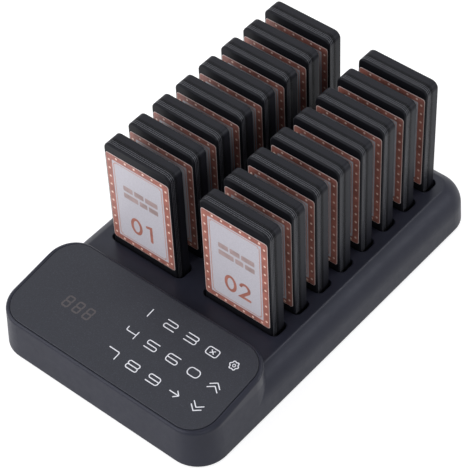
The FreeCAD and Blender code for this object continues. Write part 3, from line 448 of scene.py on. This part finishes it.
class Sheet:
    """Flat figures gathered in one mesh; place() gives a point's place in space from
    its place on the drawing and its height above it."""

    def __init__(self, name, place, materials):
        self.name = name
        self.place = place
        self.materials = materials
        self.mesh = bmesh.new()

    def face(self, corners, level, material):
        """One flat face."""
        points = [self.mesh.verts.new(Vector(self.place(p[0], p[1], level)) * MM) for p in corners]
        made = self.mesh.faces.new(points)
        made.material_index = self.materials.index(material)

    def band(self, left, right, level, material, closed=False):
        """A row of faces between two edges."""
        index = self.materials.index(material)
        count = len(left)
        rows = [(self.mesh.verts.new(Vector(self.place(a[0], a[1], level)) * MM),
                 self.mesh.verts.new(Vector(self.place(b[0], b[1], level)) * MM))
                for a, b in zip(left, right)]
        for i in range(count if closed else count - 1):
            a, b = rows[i], rows[(i + 1) % count]
            made = self.mesh.faces.new((a[0], a[1], b[1], b[0]))
            made.material_index = index

    def stroke(self, path, width, level, material, closed=False):
        """A stroke along a path, with round caps on an open one."""
        left, right = strip(path, width, closed)
        self.band(left, right, level, material, closed)
        if closed:
            return
        for point, inner in ((path[0], path[1]), (path[-1], path[-2])):
            out = (point - inner).normalized()
            turn = math.degrees(math.atan2(out.y, out.x))
            self.face(oval(point, width / 2, width / 2, turn - 90, turn + 90, 8), level, material)

    def finish(self, body):
        """Turns the figures into one object that rides on a body."""
        bmesh.ops.recalc_face_normals(self.mesh, faces=self.mesh.faces)
        data = bpy.data.meshes.new(self.name)
        self.mesh.to_mesh(data)
        self.mesh.free()
        for material in self.materials:
            data.materials.append(material)
        thing = bpy.data.objects.new(self.name, data)
        bpy.context.scene.collection.objects.link(thing)
        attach(thing, body)


def rectangle(width, height, radius, centre=(0.0, 0.0)):
    """A rectangle with round corners."""
    x, y = width / 2, height / 2
    points = [(-x, -y), (x, -y), (x, y), (-x, y)]
    return rounded([(centre[0] + p[0], centre[1] + p[1]) for p in points], radius, True)


# Touch panel: key figures and the digit display
def on_panel(u, v, above):
    """A place on the sloping panel: u to the right, v up the slope."""
    return (u, PANEL_MID[0] + v * math.cos(PANEL_TILT) - above * math.sin(PANEL_TILT),
            PANEL_MID[1] + v * math.sin(PANEL_TILT) + above * math.cos(PANEL_TILT))


def key_figures():
    """The figure on each key as open and closed paths about the key's middle, each with
    its corner radius and whether it is closed."""
    x, y = KEY_HALF
    return {
        "1": [([(0, y + 0.2), (0, -y - 0.2)], 0, False)],
        "2": [([(-x, y), (x, y), (x, 0), (-x, 0), (-x, -y), (x, -y)], KEY_ROUND, False)],
        "3": [([(-x, y), (x, y), (x, 0), (-x, 0)], KEY_ROUND, False),
              ([(-x, -y), (x, -y), (x, 0), (0, 0)], KEY_ROUND, False)],
        "4": [([(-x, y + 0.1), (-x, 0.2), (x - 0.6, 0.2)], 0.9, False),
              ([(x - 0.5, y + 0.2), (x - 0.5, -y)], 0, False)],
        "5": [([(x, y), (-x, y), (-x, 0), (x, 0), (x, -y), (-x, -y)], KEY_ROUND, False)],
        "6": [([(x, y), (-x, y), (-x, -y), (x, -y), (x, 0), (-x + 0.5, 0)], KEY_ROUND * 1.3, False)],
        "7": [([(-x, y), (x - 0.4, y), (x - 0.4, -y)], 1.0, False)],
        "8": [([(-x, y), (x, y), (x, 0), (-x, 0)], KEY_ROUND, True),
              ([(-x, 0), (x, 0), (x, -y), (-x, -y)], KEY_ROUND, True)],
        "9": [([(-x, -y), (x, -y), (x, y), (-x, y), (-x, 0), (x - 0.5, 0)], KEY_ROUND * 1.3, False)],
        "0": [([(-x, -y), (x, -y), (x, y), (-x, y)], 2.4, True)],
        "delete": [([(-x, -y), (x, -y), (x, y), (-x, y)], 1.5, True),
                   ([(-1.3, -1.1), (1.3, 1.1)], 0, False), ([(-1.3, 1.1), (1.3, -1.1)], 0, False)],
        "send": [([(-x + 0.4, 0), (x - 1.2, 0)], 0, False),
                 ([(0.6, 2.3), (x - 0.9, 0), (0.6, -2.3)], 0.3, False)],
        "up": [([(-3.7, -0.2), (0, 2.7), (3.7, -0.2)], 0.2, False),
               ([(-3.7, -2.9), (0, 0), (3.7, -2.9)], 0.2, False)],
        "down": [([(-3.7, 0.2), (0, -2.7), (3.7, 0.2)], 0.2, False),
                 ([(-3.7, 2.9), (0, 0), (3.7, 2.9)], 0.2, False)],
    }


def draw_gear(sheet, u, v):
    """A wheel with six soft teeth and a hub."""
    teeth, rim, tooth, hub = 6, 2.75, 0.36, 0.95
    outline = []
    for degrees in range(0, 360, 5):
        angle = math.radians(degrees)
        radius = rim + tooth * math.cos(teeth * angle)
        outline.append(Vector((u + radius * math.cos(angle), v + radius * math.sin(angle))))
    sheet.stroke(outline, KEY_STROKE, PANEL_LEVEL, GLYPH, True)
    sheet.stroke(oval((u, v), hub, hub, 0, 345, 23), KEY_STROKE * 0.8, PANEL_LEVEL, GLYPH, True)


def draw_panel():
    """All that is printed on the touch panel."""
    least_radius = 0.01
    sheet = Sheet("panel_print", on_panel, [GLYPH, GHOST])
    figures = key_figures()
    for row, keys in enumerate(KEY_ROWS):
        for column, key in enumerate(keys):
            u = FIRST_KEY[0] + KEY_PITCH[0] * column
            v = FIRST_KEY[1] - KEY_PITCH[1] * row
            if key == "settings":
                draw_gear(sheet, u, v)
                continue
            for number, (points, radius, closed) in enumerate(figures[key]):
                path = rounded([(u + p[0], v + p[1]) for p in points], radius or least_radius, closed)
                sheet.stroke(path, KEY_STROKE, PANEL_LEVEL + LEVEL_STEP * number, GLYPH, closed)
    draw_display(sheet)
    sheet.finish("base")


def draw_display(sheet):
    """Three unlit seven-segment digits, leaning a little."""
    wide, tall, bar = 4.4, 7.8, 1.2
    segments = (
        ((-0.5, 0.5), (0.5, 0.5)), ((-0.5, 0), (0.5, 0)), ((-0.5, -0.5), (0.5, -0.5)),
        ((-0.5, 0.5), (-0.5, 0)), ((-0.5, 0), (-0.5, -0.5)),
        ((0.5, 0.5), (0.5, 0)), ((0.5, 0), (0.5, -0.5)),
    )
    for digit in range(3):
        u = DISPLAY_MID[0] + DISPLAY_PITCH * (digit - 1)
        for ends in segments:
            a, b = (Vector((u + e[0] * wide + e[1] * tall * SEGMENT_LEAN, DISPLAY_MID[1] + e[1] * tall))
                    for e in ends)
            run = (b - a).normalized() * SEGMENT_GAP
            side = Vector((-run.y, run.x)).normalized() * (bar / 2)
            a, b = a + run, b - run
            tip = run.normalized() * (bar / 2)
            corners = [a - tip, a - side, b - side, b + tip, b + side, a + side]
            sheet.face(corners, GROUND_LEVEL, GHOST)


# Labels
def digit_paths(digit):
    """A figure's strokes in a box from (0, 0) to (1, 1)."""
    if digit == "0":
        return [(oval((0.5, 0.5), 0.5, 0.5, 0, 350, 35), True)]
    if digit == "1":
        return [([Vector((0.18, 0.93)), Vector((0.62, 1.0)), Vector((0.62, 0.0))], False)]
    if digit == "2":
        path = oval((0.48, 0.70), 0.46, 0.30, 160, -28, 20)
        return [(path + [Vector((0.02, 0.0)), Vector((1.0, 0.0))], False)]
    if digit == "3":
        path = oval((0.44, 0.755), 0.44, 0.245, 150, -80, 16)
        path += oval((0.46, 0.26), 0.50, 0.26, 80, -150, 18)
        return [(path, False)]
    if digit == "4":
        return [([Vector((1.0, 0.27)), Vector((0.0, 0.27)), Vector((0.68, 1.0)), Vector((0.72, 1.0)),
                  Vector((0.72, 0.0))], False)]
    if digit == "5":
        path = [Vector((0.90, 1.0)), Vector((0.16, 1.0)), Vector((0.10, 0.55))]
        return [(path + oval((0.46, 0.32), 0.48, 0.32, 120, -150, 22), False)]
    if digit == "6":
        path = [Vector((0.78, 1.0))] + oval((0.62, 0.34), 0.60, 0.66, 118, 182, 8)
        return [(path, False), (oval((0.5, 0.32), 0.48, 0.32, 0, 350, 30), True)]
    if digit == "7":
        return [([Vector((0.02, 1.0)), Vector((0.98, 1.0)), Vector((0.36, 0.0))], False)]
    if digit == "8":
        return [(oval((0.5, 0.76), 0.40, 0.24, 0, 350, 28), True),
                (oval((0.5, 0.26), 0.48, 0.26, 0, 350, 28), True)]
    path = [Vector((0.22, 0.0))] + oval((0.38, 0.66), 0.60, 0.66, -62, 2, 8)
    return [(path, False), (oval((0.5, 0.68), 0.48, 0.32, 0, 350, 30), True)]


def notched(width, height, cut):
    """A rectangle whose corners are stepped inwards, as on a ticket's border."""
    x, y = width / 2, height / 2
    return [Vector(p) for p in (
        (-x + cut, -y), (x - cut, -y), (x - cut, -y + cut), (x, -y + cut), (x, y - cut),
        (x - cut, y - cut), (x - cut, y), (-x + cut, y), (-x + cut, y - cut), (-x, y - cut),
        (-x, -y + cut), (-x + cut, -y + cut))]


def draw_dots(sheet):
    """The border's small dots, down both sides and along both ends."""
    spots = []
    for k in range(SIDE_DOTS):
        v = (k - (SIDE_DOTS - 1) / 2) * SIDE_DOT_PITCH + SIDE_DOT_SHIFT
        spots += [(side * SIDE_DOT_U, v) for side in (-1, 1)]
    for k in range(END_DOTS):
        u = (k - (END_DOTS - 1) / 2) * END_DOT_PITCH + END_DOT_SHIFT
        spots += [(u, side * (LABEL_HEIGHT / 2 - END_DOT_INSET)) for side in (-1, 1)]
    for spot in spots:
        sheet.face(oval(spot, DOT_RADIUS, DOT_RADIUS, 0, 330, 11), OVERPRINT_LEVEL, CREAM)


def draw_label(number, column, row):
    """One pager's label: its border of dots, the paper, a ruled frame, bars and number."""
    front = FIRST_ROW_Y + ROW_PITCH * row - LABEL_FACE
    middle = LABEL_Z + LABEL_HEIGHT / 2

    def on_label(u, v, above):
        return COLUMN_X[column] + u, front - above, middle + v

    name = "pager_%02d" % number
    sheet = Sheet(name + "_print", on_label, [SALMON, CREAM, PAPER, RULE, BARS, NUMBER])
    outer = rectangle(LABEL_WIDTH - LABEL_EDGE, LABEL_HEIGHT - LABEL_EDGE, 1.5)
    inner = rectangle(LABEL_WIDTH - PAPER_INSET[0], LABEL_HEIGHT - PAPER_INSET[1], 0.6)
    sheet.band(outer, inner, GROUND_LEVEL, SALMON, True)
    draw_dots(sheet)
    sheet.face(inner, GROUND_LEVEL, PAPER)
    frame_line = notched(LABEL_WIDTH - RULE_INSET[0], LABEL_HEIGHT - RULE_INSET[1], RULE_NOTCH)
    sheet.stroke(frame_line, RULE_STROKE, OVERPRINT_LEVEL, RULE, True)
    for level, bars in BAR_ROWS:
        for a, b in bars:
            bar = rectangle(b - a, BAR_HEIGHT, BAR_ROUND, ((a + b) / 2, level))
            sheet.face(bar, OVERPRINT_LEVEL, BARS)
    for place, digit in enumerate("%02d" % number):
        u = NUMBER_CORNER[0] + place * NUMBER_PITCH
        for k, (path, closed) in enumerate(digit_paths(digit)):
            spots = [Vector((u + p[0] * NUMBER_WIDTH, NUMBER_CORNER[1] + p[1] * NUMBER_HEIGHT))
                     for p in path]
            sheet.stroke(spots, NUMBER_STROKE, OVERPRINT_LEVEL + LEVEL_STEP * k, NUMBER, closed)
    sheet.finish(name)


draw_panel()
for row in range(ROWS):
    for column in range(len(COLUMN_X)):
        draw_label(len(COLUMN_X) * row + column + 1, column, row)


# Smooth shading on the solids, with their real edges kept sharp
SHARP_ANGLE = math.radians(32)
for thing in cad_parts.values():
    thing.data.shade_smooth()
    thing.data.set_sharp_from_angle(angle=SHARP_ANGLE)


# Floor, light and camera
def seen_directly(tree, rays):
    """1 for the camera's rays and for those through or off glass and gloss, else 0."""
    seen = rays.outputs["Is Camera Ray"]
    for kind in ("Is Glossy Ray", "Is Transmission Ray"):
        either = tree.nodes.new("ShaderNodeMath")
        either.operation = "MAXIMUM"
        tree.links.new(seen, either.inputs[0])
        tree.links.new(rays.outputs[kind], either.inputs[1])
        seen = either.outputs["Value"]
    return seen


def add_floor():
    """A floor that looks white and still takes the object's shadow."""
    shader = Shader("floor_white")
    shader.set(Base_Color=(0.42, 0.42, 0.425, 1.0), Roughness=0.6)
    rays = shader.node("ShaderNodeLightPath")
    share = shader.math("MULTIPLY", seen_directly(shader.tree, rays), 0.75)
    shader.main.inputs["Emission Color"].default_value = (1.0, 1.0, 1.0, 1.0)
    shader.link(share, shader.main.inputs["Emission Strength"])
    mesh = bmesh.new()
    bmesh.ops.create_circle(mesh, cap_ends=True, segments=96, radius=6.0)
    data = bpy.data.meshes.new("floor")
    mesh.to_mesh(data)
    mesh.free()
    data.materials.append(shader.material)
    floor = bpy.data.objects.new("floor", data)
    bpy.context.scene.collection.objects.link(floor)


def add_world():
    """White where it is seen, and a softer, cooler light elsewhere."""
    world = bpy.data.worlds.new("studio")
    bpy.context.scene.world = world
    world.use_nodes = True
    tree = world.node_tree
    tree.nodes.clear()
    out = tree.nodes.new("ShaderNodeOutputWorld")
    soft = tree.nodes.new("ShaderNodeBackground")
    soft.inputs["Color"].default_value = (0.92, 0.94, 1.0, 1.0)
    soft.inputs["Strength"].default_value = 0.38
    white = tree.nodes.new("ShaderNodeBackground")
    white.inputs["Color"].default_value = (1.0, 1.0, 1.0, 1.0)
    rays = tree.nodes.new("ShaderNodeLightPath")
    mix = tree.nodes.new("ShaderNodeMixShader")
    tree.links.new(seen_directly(tree, rays), mix.inputs["Fac"])
    tree.links.new(soft.outputs["Background"], mix.inputs[1])
    tree.links.new(white.outputs["Background"], mix.inputs[2])
    tree.links.new(mix.outputs["Shader"], out.inputs["Surface"])


def add_lamp(name, place, target, size, power, color=(1.0, 1.0, 1.0)):
    """A rectangular lamp turned towards its target, in metres and watts."""
    data = bpy.data.lights.new(name, "AREA")
    data.shape = "RECTANGLE"
    data.size, data.size_y = size
    data.energy = power
    data.color = color
    lamp = bpy.data.objects.new(name, data)
    lamp.location = place
    lamp.rotation_euler = (Vector(target) - Vector(place)).to_track_quat("-Z", "Y").to_euler()
    bpy.context.scene.collection.objects.link(lamp)


def add_camera():
    """The photograph's own view."""
    azimuth, elevation, roll = (math.radians(a) for a in (CAMERA_AZIMUTH, CAMERA_ELEVATION, CAMERA_ROLL))
    target = Vector(CAMERA_TARGET) * MM
    back = Vector((math.sin(azimuth) * math.cos(elevation), -math.cos(azimuth) * math.cos(elevation),
                   math.sin(elevation)))
    data = bpy.data.cameras.new("camera")
    data.sensor_width = SENSOR_WIDTH
    data.lens = FOCAL_PIXELS / PICTURE_PIXELS * SENSOR_WIDTH
    data.clip_start = 0.05
    data.clip_end = 30.0
    camera = bpy.data.objects.new("camera", data)
    camera.rotation_mode = "QUATERNION"
    turn = (-back).to_track_quat("-Z", "Y")
    camera.rotation_quaternion = turn @ Matrix.Rotation(roll, 4, "Z").to_quaternion()
    camera.location = target + back * (CAMERA_DISTANCE * MM)
    bpy.context.scene.collection.objects.link(camera)
    bpy.context.scene.camera = camera


add_floor()
add_world()
add_lamp("key_front", (-0.9, -1.4, 0.95), (0, 0, 0.05), (2.2, 1.8), 31.0, (1.0, 0.985, 1.0))
add_lamp("rim_back", (1.5, 1.05, 0.95), (0, 0, 0.08), (0.6, 0.45), 9.0)
add_lamp("fill_right", (1.4, -1.0, 0.9), (0, 0, 0.05), (1.0, 1.0), 5.0)
add_lamp("soft_back_left", (-0.75, 0.80, 1.20), (-0.03, 0, 0.05), (1.1, 0.9), 3.0)
add_lamp("ridge_glint", (0.20, 0.78, 1.32), (0, 0, 0.05), (0.40, 0.30), 3.0)
add_camera()
bpy.context.scene.view_settings.view_transform = "Standard"
